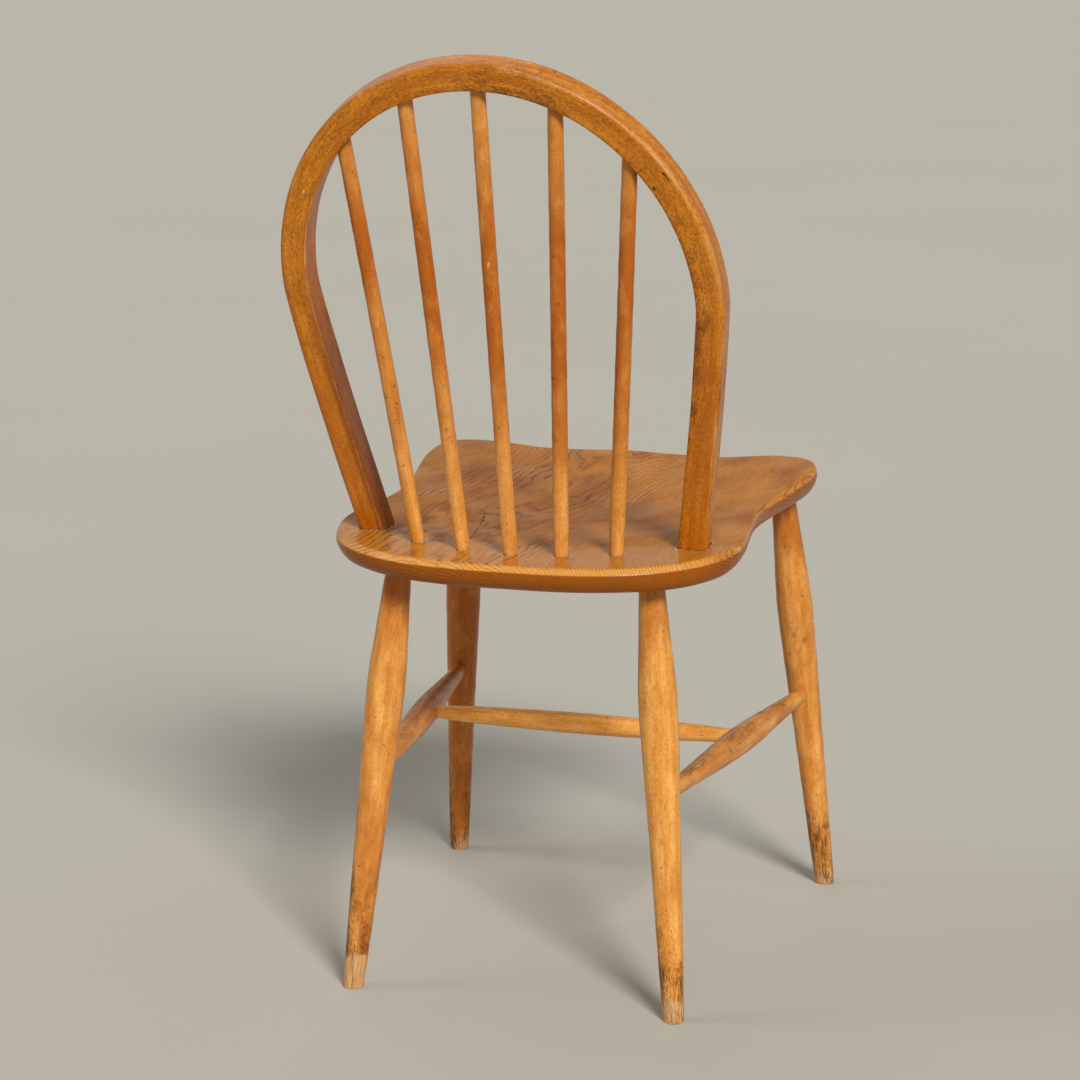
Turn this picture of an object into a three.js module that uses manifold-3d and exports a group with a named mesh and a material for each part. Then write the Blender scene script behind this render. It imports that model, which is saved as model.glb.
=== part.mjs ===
// Hoop-back wooden chair: a solid seat, one bent hoop, round spindles, turned legs and an H of stretchers.
// Millimetres. +Z is up, the sitter faces -Y, and +X is the sitter's left.
// Points are written from the foot of the middle spindle, and the whole chair is centred at the end.
import * as THREE from 'three';
import { mergeVertices } from 'three/addons/utils/BufferGeometryUtils.js';
import Module from 'manifold-3d';

const wasm = await Module();
wasm.setup();
const { Manifold, Mesh } = wasm;

// Fit between pieces
const gap = 0.35;

// Seat: height of its top at the middle spindle, fall towards the back, and edge section
const seatHeight = 409;
const seatSlope = 0.066;
const seatThickness = 24.5;
const seatEdge = [
  [6, 0], [3.4, 0.7], [1.3, 2.6], [0, 6.5], [0.8, 12], [3.6, 17.5], [8.6, 21.8], [16, seatThickness],
];
const seatRingShares = [0.93, 0.85, 0.75, 0.64, 0.52, 0.4, 0.27, 0.13];
const seatOutlineSteps = 96;
const seatMiddleY = -190;

// Where the seat isn't the same left and right: a fuller lobe beside the left foot of the hoop, and
// a narrower bevel under the right back corner
const leftLobe = { bulge: 4.6, y: -112, reach: 36 };
const rightBevelShare = 0.72;

// Half of the seat's outline, from the middle of the back round to the middle of the front
const seatHalfOutline = [
  [0, 33], [55, 31], [95, 23], [130, 7], [158, -15], [177, -44], [185.5, -75], [185.5, -106],
  [180, -146], [175.5, -186], [175.5, -216], [181, -256], [188.5, -296], [193.5, -330],
  [193, -358], [185, -378], [168, -389], [140, -391], [100, -390], [50, -388.5], [0, -388],
];

// Saddle of the seat: a broad hollow, raised front corners and a low ridge between the thighs
const hollowDepth = 7;
const hollowHalfWidth = 158;
const hollowHalfLength = 150;
const cornerLift = 4;
const ridgeLift = 2.2;

// Hoop: its plane leans back from the foot line, and its shape is two bowed sides under an arch
const hoopFootY = -68;
const hoopRake = THREE.MathUtils.degToRad(20.3);
const hoopFootHalfWidth = 147.4;
const hoopHalfWidth = 183.2;
const hoopArchHeight = 200.6;
const hoopSideHeight = 242;
const hoopArchPower = { left: 2.04, right: 2 };
const hoopSideBow = 1.17;
const hoopLean = 0.01;
const hoopSection = { width: 25.1, depth: 26, outerRound: 4.5, innerRound: 1.8 };
const hoopTopShare = 0.935;
const hoopTenonStart = -5;
const hoopTenonEnd = -44;
const hoopTenonShare = 0.74;

// Wedge in each hoop tenon
const wedge = { width: 13, tip: 1, butt: 3, length: 15 };

// Spindles: foot on the seat and place on the hoop, by distance from the middle
const spindles = [
  { name: 'outer_left', foot: [93.4, -27.7], hoop: [125.2, 388] },
  { name: 'inner_left', foot: [46.4, -12.4], hoop: [65.4, 429.3] },
  { name: 'centre', foot: [1, -6], hoop: [0, 441.7] },
  { name: 'inner_right', foot: [-43.2, -12.4], hoop: [-65.4, 429.3] },
  { name: 'outer_right', foot: [-88.5, -27.7], hoop: [-125.2, 388] },
];
const spindleRadius = 6.8;
const spindleFootRadius = 6.2;
const spindleFootDepth = 17;

// Legs: top on the seat's underside and foot on the floor
const rearLegTop = [116.2, -41.7];
const rearLegFoot = [150.2, -2];
const frontLegTop = [160, -356];
const frontLegFoot = [193.1, -427];
const legTenonDepth = 18;
const legTenonRadius = 11;

// Leg turning: share of the way down, radius
const legProfile = [
  [0.04, 12], [0.09, 13.1], [0.14, 14.3], [0.19, 15.6], [0.235, 16.7], [0.275, 17.2], [0.32, 17.1],
  [0.37, 16.6], [0.42, 16], [0.48, 15.3], [0.6, 13.8], [0.72, 12.5], [0.84, 11], [0.93, 9.8], [1, 8.8],
];

// Stretchers: height of the side ones where they meet each leg, and place of the cross one along them
const rearJointHeight = 197.5;
const frontJointHeight = 203.5;
const crossShare = 0.55;
const stretcherTenonPast = 4;

// Stretcher turning: share of the length between the leg axes, radius
const sideStretcherProfile = [
  [0.045, 6.9], [0.1, 7.6], [0.2, 9], [0.3, 10.5], [0.4, 12], [0.47, 12.7], [0.55, 12.8],
  [0.63, 12.1], [0.72, 10.4], [0.82, 8.8], [0.9, 7.7], [0.955, 6.9],
];
const crossStretcherProfile = [
  [0.05, 6.4], [0.12, 7.7], [0.22, 8.7], [0.35, 9.6], [0.5, 10.1], [0.65, 9.6], [0.78, 8.7],
  [0.88, 7.7], [0.95, 6.4],
];
const sideStretcherTenonRadius = 6.8;
const crossStretcherTenonRadius = 6.3;

// Facets round a turned piece
const legFacets = 24;
const stretcherFacets = 20;
const spindleFacets = 20;

const elm = new THREE.MeshStandardMaterial({ color: '#a0632f', roughness: 0.45, metalness: 0 });
const beech = new THREE.MeshStandardMaterial({ color: '#b8701f', roughness: 0.4, metalness: 0 });
const paleBeech = new THREE.MeshStandardMaterial({ color: '#c08a4c', roughness: 0.6, metalness: 0 });

function toSolid(geometry) {
  const bare = geometry.clone();
  bare.deleteAttribute('normal');
  bare.deleteAttribute('uv');
  const welded = mergeVertices(bare, 1e-4);
  return new Manifold(new Mesh({
    numProp: 3,
    vertProperties: new Float32Array(welded.attributes.position.array),
    triVerts: new Uint32Array(welded.index.array),
  }));
}

function toMesh(solid, name, material) {
  const data = solid.getMesh();
  const geometry = new THREE.BufferGeometry();
  geometry.setAttribute('position', new THREE.BufferAttribute(new Float32Array(data.vertProperties), 3));
  geometry.setIndex(new THREE.BufferAttribute(new Uint32Array(data.triVerts), 1));
  geometry.computeVertexNormals();
  const mesh = new THREE.Mesh(geometry, material.clone());
  mesh.name = name;
  return mesh;
}

// Closed body through rings of equal length, capped with a fan at each end
function ringBody(rings) {
  const count = rings[0].length;
  const positions = rings.flat().flatMap((point) => [point.x, point.y, point.z]);
  const middles = [rings[0], rings[rings.length - 1]].map((ring) => ring
    .reduce((sum, point) => sum.add(point), new THREE.Vector3())
    .divideScalar(count));
  middles.forEach((point) => positions.push(point.x, point.y, point.z));
  const firstMiddle = rings.length * count;
  const indices = [];
  for (let ring = 0; ring < rings.length - 1; ring += 1) {
    for (let step = 0; step < count; step += 1) {
      const a = ring * count + step;
      const b = ring * count + ((step + 1) % count);
      indices.push(a, b, b + count, a, b + count, a + count);
    }
  }
  const last = (rings.length - 1) * count;
  for (let step = 0; step < count; step += 1) {
    const next = (step + 1) % count;
    indices.push(next, step, firstMiddle);
    indices.push(last + step, last + next, firstMiddle + 1);
  }
  const geometry = new THREE.BufferGeometry();
  geometry.setAttribute('position', new THREE.Float32BufferAttribute(positions, 3));
  geometry.setIndex(indices);
  return geometry;
}

// Solid whose faces point outwards, whichever way its rings were wound
function outward(geometry) {
  const solid = toSolid(geometry);
  if (solid.volume() > 0) {
    return solid;
  }
  const flipped = geometry.clone();
  const index = flipped.index.array;
  for (let corner = 0; corner < index.length; corner += 3) {
    const swap = index[corner + 1];
    index[corner + 1] = index[corner + 2];
    index[corner + 2] = swap;
  }
  return toSolid(flipped);
}

// Turned body from start towards end: profile pairs are distance along the axis, radius
function turned(start, end, profile, facets) {
  const points = [new THREE.Vector2(0, profile[0][0])];
  profile.forEach(([distance, radius]) => points.push(new THREE.Vector2(radius, distance)));
  points.push(new THREE.Vector2(0, profile[profile.length - 1][0]));
  const geometry = new THREE.LatheGeometry(points, facets);
  const direction = end.clone().sub(start).normalize();
  const turn = new THREE.Quaternion().setFromUnitVectors(new THREE.Vector3(0, 1, 0), direction);
  geometry.applyQuaternion(turn);
  geometry.translate(start.x, start.y, start.z);
  return outward(geometry);
}

// Round hole that clears a peg of the given radius
function holeFor(start, end, from, to, pegRadius, facets) {
  const radius = pegRadius + gap;
  return turned(start, end, [[from, radius], [to, radius]], facets);
}

// Height of the seat's top plane, before the saddle, and of its underside
const seatPlane = (y) => seatHeight - seatSlope * y;
const seatUnderside = (y) => seatPlane(y) - seatThickness;

function saddle(x, y) {
  const bowl = 1 - (x / hollowHalfWidth) ** 2 - ((y - seatMiddleY) / hollowHalfLength) ** 2;
  const hollow = bowl > 0 ? -hollowDepth * bowl ** 1.5 : 0;
  const towardsFront = THREE.MathUtils.smoothstep(-y, 250, 385);
  const corner = cornerLift * THREE.MathUtils.smoothstep(Math.abs(x), 85, 150);
  const ridge = ridgeLift * Math.exp(-((x / 38) ** 2));
  return hollow + towardsFront * (corner + ridge);
}

function buildSeat() {
  const left = seatHalfOutline.map(([x, y]) => new THREE.Vector3(x, y, 0));
  const right = seatHalfOutline.slice(1, -1).reverse().map(([x, y]) => new THREE.Vector3(-x, y, 0));
  const curve = new THREE.CatmullRomCurve3([...left, ...right], true, 'centripetal');
  const outline = curve.getSpacedPoints(seatOutlineSteps).slice(0, -1);
  outline.forEach((point) => {
    const nearLeft = THREE.MathUtils.smoothstep(point.x, 100, 170);
    point.x += leftLobe.bulge * nearLeft * Math.exp(-(((point.y - leftLobe.y) / leftLobe.reach) ** 2));
  });
  const inward = outline.map((point, step) => {
    const before = outline[(step + outline.length - 1) % outline.length];
    const after = outline[(step + 1) % outline.length];
    const along = after.clone().sub(before);
    const side = new THREE.Vector3(along.y, -along.x, 0).normalize();
    const middle = new THREE.Vector3(0, seatMiddleY, 0).sub(point);
    return side.dot(middle) > 0 ? side : side.negate();
  });
  const widestDrop = seatEdge.find(([inset]) => inset === 0)[1];
  const edgeRing = ([inset, drop]) => outline.map((point, step) => {
    const toRight = THREE.MathUtils.smoothstep(-point.x, 90, 150);
    const nearCorner = toRight * THREE.MathUtils.smoothstep(point.y, -95, -55);
    const bevel = drop > widestDrop ? 1 - (1 - rightBevelShare) * nearCorner : 1;
    const moved = point.clone().addScaledVector(inward[step], inset * bevel);
    const share = 1 - Math.min(drop / seatThickness, 1);
    moved.z = seatPlane(moved.y) - drop + share * saddle(moved.x, moved.y);
    return moved;
  });
  const topEdge = edgeRing(seatEdge[0]);
  const topRings = seatRingShares.map((share) => topEdge.map((point) => {
    const x = point.x * share;
    const y = seatMiddleY + (point.y - seatMiddleY) * share;
    return new THREE.Vector3(x, y, seatPlane(y) + saddle(x, y));
  }));
  const edgeRings = seatEdge.map(edgeRing);
  return outward(ringBody([...topRings.reverse(), ...edgeRings]));
}

// Point of the hoop's middle line, by side and height in the hoop's own plane
function hoopPlanePoint(x, height, depth) {
  const rise = height + x * hoopLean;
  return new THREE.Vector3(
    x,
    hoopFootY + rise * Math.sin(hoopRake) + depth * Math.cos(hoopRake),
    seatPlane(hoopFootY) + rise * Math.cos(hoopRake) - depth * Math.sin(hoopRake),
  );
}

// Middle line of the hoop in its plane, from the left tenon over the top to the right one
function hoopLine() {
  const footSlope = ((hoopHalfWidth - hoopFootHalfWidth) / hoopSideHeight) * hoopSideBow;
  const sideSteps = 11;
  const archSteps = 26;
  const halfLine = (side, power) => {
    const half = [];
    for (const height of [hoopTenonEnd, -22, hoopTenonStart]) {
      half.push([side * (hoopFootHalfWidth + footSlope * height), height]);
    }
    for (let step = 0; step < sideSteps; step += 1) {
      const share = (step + 0.2) / sideSteps;
      const bow = (1 - share) ** hoopSideBow;
      const x = hoopHalfWidth - (hoopHalfWidth - hoopFootHalfWidth) * bow;
      half.push([side * x, hoopSideHeight * share]);
    }
    for (let step = 0; step < archSteps; step += 1) {
      const angle = (step / archSteps) * (Math.PI / 2);
      half.push([
        side * hoopHalfWidth * Math.cos(angle) ** (2 / power),
        hoopSideHeight + hoopArchHeight * Math.sin(angle) ** (2 / power),
      ]);
    }
    return half;
  };
  const top = [0, hoopSideHeight + hoopArchHeight];
  return [...halfLine(1, hoopArchPower.left), top, ...halfLine(-1, hoopArchPower.right).reverse()];
}

// Section of the hoop: outwards, backwards
function hoopOutline(grow) {
  const { width, depth, outerRound, innerRound } = hoopSection;
  const corners = [
    [1, 1, outerRound, 3], [-1, 1, innerRound, 2], [-1, -1, innerRound, 2], [1, -1, outerRound, 3],
  ];
  return corners.flatMap(([outwards, backwards, radius, steps], corner) => {
    const points = [];
    for (let step = 0; step <= steps; step += 1) {
      const angle = (corner + step / steps) * (Math.PI / 2);
      points.push([
        outwards * (width / 2 - radius) + (radius + grow) * Math.cos(angle),
        backwards * (depth / 2 - radius) + (radius + grow) * Math.sin(angle),
      ]);
    }
    return points;
  });
}

function sweepHoop(line, grow) {
  const outline = hoopOutline(grow);
  const rings = line.map(([x, height], place) => {
    const before = line[Math.max(place - 1, 0)];
    const after = line[Math.min(place + 1, line.length - 1)];
    const along = new THREE.Vector2(after[0] - before[0], after[1] - before[1]).normalize();
    const outwards = new THREE.Vector2(along.y, -along.x);
    const down = THREE.MathUtils.clamp((hoopTenonStart - height) / (hoopTenonStart - hoopTenonEnd), 0, 1);
    const size = 1 - (1 - hoopTenonShare) * down;
    const up = Math.max(height, 0) / (hoopSideHeight + hoopArchHeight);
    const thickness = size * (1 - (1 - hoopTopShare) * up ** 2);
    return outline.map(([out, back]) => hoopPlanePoint(
      x + outwards.x * out * thickness,
      height + outwards.y * out * thickness,
      back * size,
    ));
  });
  return outward(ringBody(rings));
}

// Tenon of one hoop end, a little larger than the hoop, as the hole through the seat
function hoopMortise(side) {
  const footSlope = ((hoopHalfWidth - hoopFootHalfWidth) / hoopSideHeight) * hoopSideBow;
  const line = [hoopTenonEnd - 2, hoopTenonEnd, -22, hoopTenonStart, 12].map((height) => [
    side * (hoopFootHalfWidth + footSlope * height), height,
  ]);
  return sweepHoop(side > 0 ? line : line.reverse(), gap);
}

// Everything above the seat's underside
function aboveUnderside(lift) {
  const size = 900;
  const block = new THREE.BoxGeometry(size, size, size);
  block.rotateX(-Math.atan(seatSlope));
  const reach = size / 2 / Math.cos(Math.atan(seatSlope));
  block.translate(0, 0, seatUnderside(0) + lift + reach);
  return outward(block);
}

// Wedge driven up into a hoop tenon from below
function wedgeBody(side, grow) {
  const footSlope = ((hoopHalfWidth - hoopFootHalfWidth) / hoopSideHeight) * hoopSideBow;
  const buttHeight = -(seatThickness / Math.cos(hoopRake)) + 1.5;
  const tipHeight = buttHeight + wedge.length;
  const heights = grow > 0 ? [buttHeight - 12, tipHeight + grow] : [buttHeight, tipHeight];
  const rings = heights.map((height) => {
    const share = (height - buttHeight) / wedge.length;
    const half = (wedge.butt + (wedge.tip - wedge.butt) * share) / 2 + grow;
    const x = side * (hoopFootHalfWidth + footSlope * height);
    const reach = wedge.width / 2 + grow;
    return [[-1, -1], [1, -1], [1, 1], [-1, 1]].map(([across, back]) => hoopPlanePoint(
      x + across * reach, height, back * half,
    ));
  });
  return outward(ringBody(rings));
}

function legAxis(side, front) {
  const [topX, topY] = front ? frontLegTop : rearLegTop;
  const [footX, footY] = front ? frontLegFoot : rearLegFoot;
  const top = new THREE.Vector3(side * topX, topY, seatUnderside(topY));
  const foot = new THREE.Vector3(side * footX, footY, 0);
  return { top, foot };
}

function pointAtHeight({ top, foot }, height) {
  return top.clone().lerp(foot, (top.z - height) / top.z);
}

function stretcherAxis(side) {
  const rear = pointAtHeight(legAxis(side, false), rearJointHeight);
  const front = pointAtHeight(legAxis(side, true), frontJointHeight);
  return { rear, front };
}

function stretcherBody(start, end, profile, tenonRadius) {
  const length = start.distanceTo(end);
  const past = stretcherTenonPast;
  const points = [[-past, tenonRadius - 0.6], [1 - past, tenonRadius]];
  profile.forEach(([share, radius]) => points.push([share * length, radius]));
  points.push([length + past - 1, tenonRadius], [length + past, tenonRadius - 0.6]);
  return turned(start, end, points, stretcherFacets);
}

// Hole round each end of a stretcher, and a little deeper
function stretcherHole(start, end, tenonRadius) {
  return holeFor(start, end, -stretcherTenonPast - 0.6, 26, tenonRadius + 0.15, stretcherFacets);
}

function buildLeg(side, front) {
  const axis = legAxis(side, front);
  const length = axis.top.distanceTo(axis.foot);
  const points = [
    [-legTenonDepth, legTenonRadius - 1], [1 - legTenonDepth, legTenonRadius], [0, legTenonRadius],
  ];
  legProfile.forEach(([share, radius]) => points.push([share * length, radius]));
  const lastRadius = legProfile[legProfile.length - 1][1];
  points.push([length + 10, lastRadius - 0.4]);
  const floor = new THREE.BoxGeometry(900, 1200, 200);
  floor.translate(0, -200, -100);
  const stretcher = stretcherAxis(side);
  const [near, far] = front ? [stretcher.front, stretcher.rear] : [stretcher.rear, stretcher.front];
  return turned(axis.top, axis.foot, points, legFacets)
    .subtract(outward(floor))
    .subtract(stretcherHole(near, far, sideStretcherTenonRadius));
}

function crossEnds() {
  return [1, -1].map((side) => {
    const { rear, front } = stretcherAxis(side);
    return rear.clone().lerp(front, crossShare);
  });
}

function spindleAxis({ foot, hoop }) {
  const bottom = new THREE.Vector3(foot[0], foot[1], seatPlane(foot[1]));
  const top = hoopPlanePoint(hoop[0], hoop[1], -1);
  return { bottom, top };
}

const parts = [];
const seatCuts = [];
const hoopCuts = [];

for (const spindle of spindles) {
  const { bottom, top } = spindleAxis(spindle);
  const length = bottom.distanceTo(top);
  const profile = [
    [-spindleFootDepth, spindleFootRadius - 0.6],
    [1 - spindleFootDepth, spindleFootRadius],
    [2, spindleFootRadius],
    [24, spindleFootRadius + 0.45],
    [60, spindleRadius],
    [length - 1, spindleRadius],
    [length, spindleRadius - 0.6],
  ];
  const body = turned(bottom, top, profile, spindleFacets);
  parts.push(toMesh(body, `spindle_${spindle.name}`, beech));
  seatCuts.push(holeFor(bottom, top, -spindleFootDepth - 0.5, 12, spindleFootRadius, spindleFacets));
  hoopCuts.push(holeFor(top, bottom, -0.5, 60, spindleRadius, spindleFacets));
}

const sides = [['left', 1], ['right', -1]];
for (const [sideName, side] of sides) {
  for (const [placeName, front] of [['front', true], ['back', false]]) {
    const { top, foot } = legAxis(side, front);
    seatCuts.push(holeFor(top, foot, -legTenonDepth - 0.5, 30, legTenonRadius, legFacets));
    parts.push(toMesh(buildLeg(side, front), `leg_${placeName}_${sideName}`, beech));
  }
  seatCuts.push(hoopMortise(side));
  hoopCuts.push(wedgeBody(side, gap));
  parts.push(toMesh(wedgeBody(side, 0), `hoop_wedge_${sideName}`, paleBeech));
}

const [crossLeft, crossRight] = crossEnds();
for (const [sideName, side] of sides) {
  const { rear, front } = stretcherAxis(side);
  const [near, far] = side > 0 ? [crossLeft, crossRight] : [crossRight, crossLeft];
  const body = stretcherBody(rear, front, sideStretcherProfile, sideStretcherTenonRadius)
    .subtract(stretcherHole(near, far, crossStretcherTenonRadius));
  parts.push(toMesh(body, `side_stretcher_${sideName}`, beech));
}
const cross = stretcherBody(crossLeft, crossRight, crossStretcherProfile, crossStretcherTenonRadius);
parts.push(toMesh(cross, 'cross_stretcher', beech));

const seat = seatCuts.reduce((solid, cut) => solid.subtract(cut), buildSeat());
parts.push(toMesh(seat, 'seat', elm));

const hoop = hoopCuts.reduce(
  (solid, cut) => solid.subtract(cut),
  sweepHoop(hoopLine(), 0).intersect(aboveUnderside(0.3)),
);
parts.push(toMesh(hoop, 'hoop', beech));

// Centre of the whole chair's box over the origin
const chair = new THREE.Group();
chair.name = 'hoop_back_chair';
const box = new THREE.Box3();
parts.forEach((mesh) => box.expandByObject(mesh));
const centre = box.getCenter(new THREE.Vector3());
parts.forEach((mesh) => {
  mesh.geometry.translate(-centre.x, -centre.y, 0);
  chair.add(mesh);
});

export default chair;
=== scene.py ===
"""Looks of a worn hoop-back chair: an elm seat, and a hoop, spindles, legs and stretchers of beech.

Lengths are in millimetres, as in the CAD, until mesh_object() writes them in metres.
Shapes are worked out in the chair's own layout, where y is 0 at the foot of the middle spindle.
mesh_object() then moves them by to_frame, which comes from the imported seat's box.
"""
import math

import bpy
import numpy as np
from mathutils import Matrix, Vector


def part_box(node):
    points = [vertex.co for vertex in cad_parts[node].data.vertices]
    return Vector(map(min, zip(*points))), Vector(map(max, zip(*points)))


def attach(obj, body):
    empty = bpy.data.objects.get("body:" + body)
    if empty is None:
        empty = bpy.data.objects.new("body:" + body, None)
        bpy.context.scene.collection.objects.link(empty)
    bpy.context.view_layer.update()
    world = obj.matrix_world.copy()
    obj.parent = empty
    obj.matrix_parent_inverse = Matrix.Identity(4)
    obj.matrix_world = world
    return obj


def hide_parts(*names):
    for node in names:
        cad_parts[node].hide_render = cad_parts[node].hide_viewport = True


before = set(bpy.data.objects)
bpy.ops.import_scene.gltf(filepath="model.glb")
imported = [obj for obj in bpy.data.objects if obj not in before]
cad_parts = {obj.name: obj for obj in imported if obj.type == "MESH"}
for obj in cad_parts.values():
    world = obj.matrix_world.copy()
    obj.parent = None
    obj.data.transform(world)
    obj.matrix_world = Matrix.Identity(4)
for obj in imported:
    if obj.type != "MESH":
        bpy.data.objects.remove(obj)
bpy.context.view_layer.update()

METRES = 0.001

# Seat
seat_height = 409.0
seat_slope = 0.066
seat_thickness = 24.5
seat_middle_y = -190.0
seat_steps = 600
seat_half_outline = [
    (0, 33), (55, 31), (95, 23), (130, 7), (158, -15), (177, -44), (185.5, -75), (185.5, -106),
    (180, -146), (175.5, -186), (175.5, -216), (181, -256), (188.5, -296), (193.5, -330),
    (193, -358), (185, -378), (168, -389), (140, -391), (100, -390), (50, -388.5), (0, -388),
]
# Edge sections of the seat: inwards, down
lower_edge = [(3.6, 17.5), (5.8, 19.9), (8.6, 21.8), (12, 23.5), (16, 24.5)]
rounded_edge = [
    (7.6, 0), (6, 0.05), (4.6, 0.35), (3.4, 0.9), (2.2, 1.8), (1.3, 2.9), (0.55, 4.4), (0, 6.8),
    (0.2, 9.4), (0.9, 12.3), (2, 15), *lower_edge]
facet_edge = [
    (7.6, 0), (6, 0.05), (5, 0.25), (4.3, 0.8), (3.1, 2.1), (1.9, 3.5), (0.65, 5), (0.1, 5.8),
    (0.05, 7), (0.6, 11.2), (1.9, 14.8), *lower_edge]
left_lobe_bulge, left_lobe_y, left_lobe_reach = 4.6, -112.0, 36.0
right_bevel_share = 0.72
hollow_depth, hollow_half_width, hollow_half_length = 7.0, 158.0, 150.0
corner_lift, ridge_lift = 4.0, 2.2

# Heart of the elm's tree: its side, turning with y, and its height, falling with y
pith_side, pith_turn, pith_lift, pith_fall = 76.0, 0.12, 262.0, 0.075
# Growth rings a millimetre, and how many more there are far from the heart, from where, over how far
ring_rate, ring_extra, ring_tight_from, ring_tight_over = 0.3, 0.22, 150.0, 80.0
# Knot at the front of the seat: its middle, reach and pull on the rings
elm_knot, elm_knot_pull = ((-45, -420), (75, 120)), -9.0
# Pits of the seat's top: place and reach
seat_pits = [
    (44.9, -164.6, 1.6), (-20.3, -217.5, 1.7), (-136.4, -34.8, 2.0), (30.1, -176.7, 1.6),
    (33.5, -181.0, 1.3), (26.5, -172.0, 1.4), (36.0, -172.5, 1.2), (24.0, -184.0, 1.3),
    (20.5, -190.0, 1.1), (-70.0, -120.0, 1.2), (-64.0, -128.0, 0.9), (12.0, -205.0, 1.0),
]
# Dark slot left by a tool beside a spindle: place and reach
tool_slot = (73.5, -33.5), (5.2, 2.4)
# Nicks of the seat's edge: place, reach and depth
seat_nicks = [
    ((-185.2, -82, 410.9), (2.2, 7, 2.6), 1.0), ((-181, -74, 412), (2, 4, 2.2), 0.9),
    ((-183, -140, 421), (2, 3, 1.8), 0.7), ((-181.5, -128, 420), (1.6, 2.5, 1.6), 0.7),
    ((-190, -300, 428), (2, 3, 2), 0.8), ((-193, -330, 428), (2, 3, 2), 0.6),
    ((150, 3, 405), (3, 3, 2), 0.5), ((40, 31, 404), (4, 2, 2), 0.4),
]

# Hoop
hoop_foot_y = -68.0
hoop_rake = math.radians(20.3)
hoop_foot_half, hoop_half = 147.4, 183.2
hoop_arch, hoop_side = 200.6, 242.0
hoop_power = {1: 2.04, -1: 2.0}
hoop_bow, hoop_lean = 1.17, 0.01
hoop_foot_slope = (hoop_half - hoop_foot_half) / hoop_side * hoop_bow
hoop_width, hoop_depth = 25.1, 26.0
outer_round, inner_round = 4.6, 1.6
hoop_top_share = 0.935
tenon_start, tenon_end, tenon_share = -5.0, -44.0, 0.74
wedge_width, wedge_butt, wedge_tip, wedge_length = 13.0, 3.0, 1.0, 15.0
# A wedge's rings: height over its butt and share of the full size, with an eased edge at the butt
wedge_steps = [
    (-2.1, 0.86), (-1.9, 0.95), (-1.5, 1.0), (1.0, 1.0), (4.0, 1.0), (8.0, 1.0), (12.0, 1.0)]
# Marks of the hoop, placed in the frame: place, stretch of the wood's coordinates and reach
hoop_scratches = [
    ((-155.0, 237.1, 748.5), (1, 0, 0.3), 1.3), ((-157.0, 236.6, 745.0), (1, 0, 0.3), 1.1),
    ((-144.6, 232.5, 735.2), (1, 0.3, 0.6), 1.5), ((20.0, 255.0, 822.0), (1, 0, 0.1), 0.9),
    ((-8.0, 255.0, 824.0), (1, 0, 0.16), 0.8),
]
hoop_specks = [((161.6, 229.0, 725.7), (1, 0.3, 0.6), 1.2)]
# Dents of the hoop: place and reach
hoop_gouge = (-155.4, 237.1, 747.6), (2.6, 3, 4.4)
hoop_nick = (-144.6, 232.5, 735.2), (2.6, 3, 2.6)
hoop_chip = (-143.2, 231.0, 731.5), (1.5, 3, 2.0)

# Spindles: name, foot on the seat, side and height on the hoop
spindles = [
    ("outer_left", (93.4, -27.7), (125.2, 388.0)),
    ("inner_left", (46.4, -12.4), (65.4, 429.3)),
    ("centre", (1.0, -6.0), (0.0, 441.7)),
    ("inner_right", (-43.2, -12.4), (-65.4, 429.3)),
    ("outer_right", (-88.5, -27.7), (-125.2, 388.0)),
]
spindle_radius, spindle_foot_radius, spindle_depth = 6.8, 6.2, 17.0

# Legs and stretchers
rear_leg_top, rear_leg_foot = (116.2, -41.7), (150.2, -2.0)
front_leg_top, front_leg_foot = (160.0, -356.0), (193.1, -427.0)
leg_profile = [
    (0.0, 11), (0.04, 12), (0.09, 13.1), (0.14, 14.3), (0.19, 15.6), (0.235, 16.7), (0.275, 17.2),
    (0.32, 17.1), (0.37, 16.6), (0.42, 16), (0.48, 15.3), (0.6, 13.8), (0.72, 12.5), (0.84, 11),
    (0.93, 9.8), (1, 8.8),
]
rear_joint, front_joint, cross_share = 197.5, 203.5, 0.55
side_profile = [
    (0.0, 6.6), (0.045, 6.9), (0.1, 7.6), (0.2, 9), (0.3, 10.5), (0.4, 12), (0.47, 12.7),
    (0.55, 12.8), (0.63, 12.1), (0.72, 10.4), (0.82, 8.8), (0.9, 7.7), (0.955, 6.9), (1.0, 6.6),
]
cross_profile = [
    (0.0, 6.1), (0.05, 6.4), (0.12, 7.7), (0.22, 8.7), (0.35, 9.6), (0.5, 10.1), (0.65, 9.6),
    (0.78, 8.7), (0.88, 7.7), (0.95, 6.4), (1.0, 6.1),
]

# Reddened zone of each spindle: its middle and reach as shares of the length, and its weight
spindle_tan = {
    "outer_left": (0.7, 0.16, 0.6), "inner_left": (0.6, 0.18, 0.75), "centre": (0.55, 0.2, 0.8),
    "inner_right": (0.52, 0.22, 0.8), "outer_right": (0.62, 0.26, 0.7),
}
# Legs: height, softness and raggedness of the foot's bare wood, the dark stain's lower and upper
# height and weight, and the reddening above and below
leg_wear = {
    # The front left leg's strong reddening, heavy stain and low bare edge darken it as painted shade of
    # the seat above it, over its real stain
    "front_left": ((12, 14, 9), (2, 60, 0.9), (0.95, 0.85)),
    "front_right": ((16, 14, 9), (0, 70, 1.0), (0.35, 0.3)),
    "back_left": ((31, 3.5, 3.5), (34, 96, 0.66), (0.22, 0.62)),
    "back_right": ((20, 12, 8), (2, 46, 0.85), (0.0, 0.12)),
}
# Reddening of each side stretcher; the left one's larger share is painted shade
side_stretcher_tan_and_shade = {"side_stretcher_left": 0.75, "side_stretcher_right": 0.5}
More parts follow.
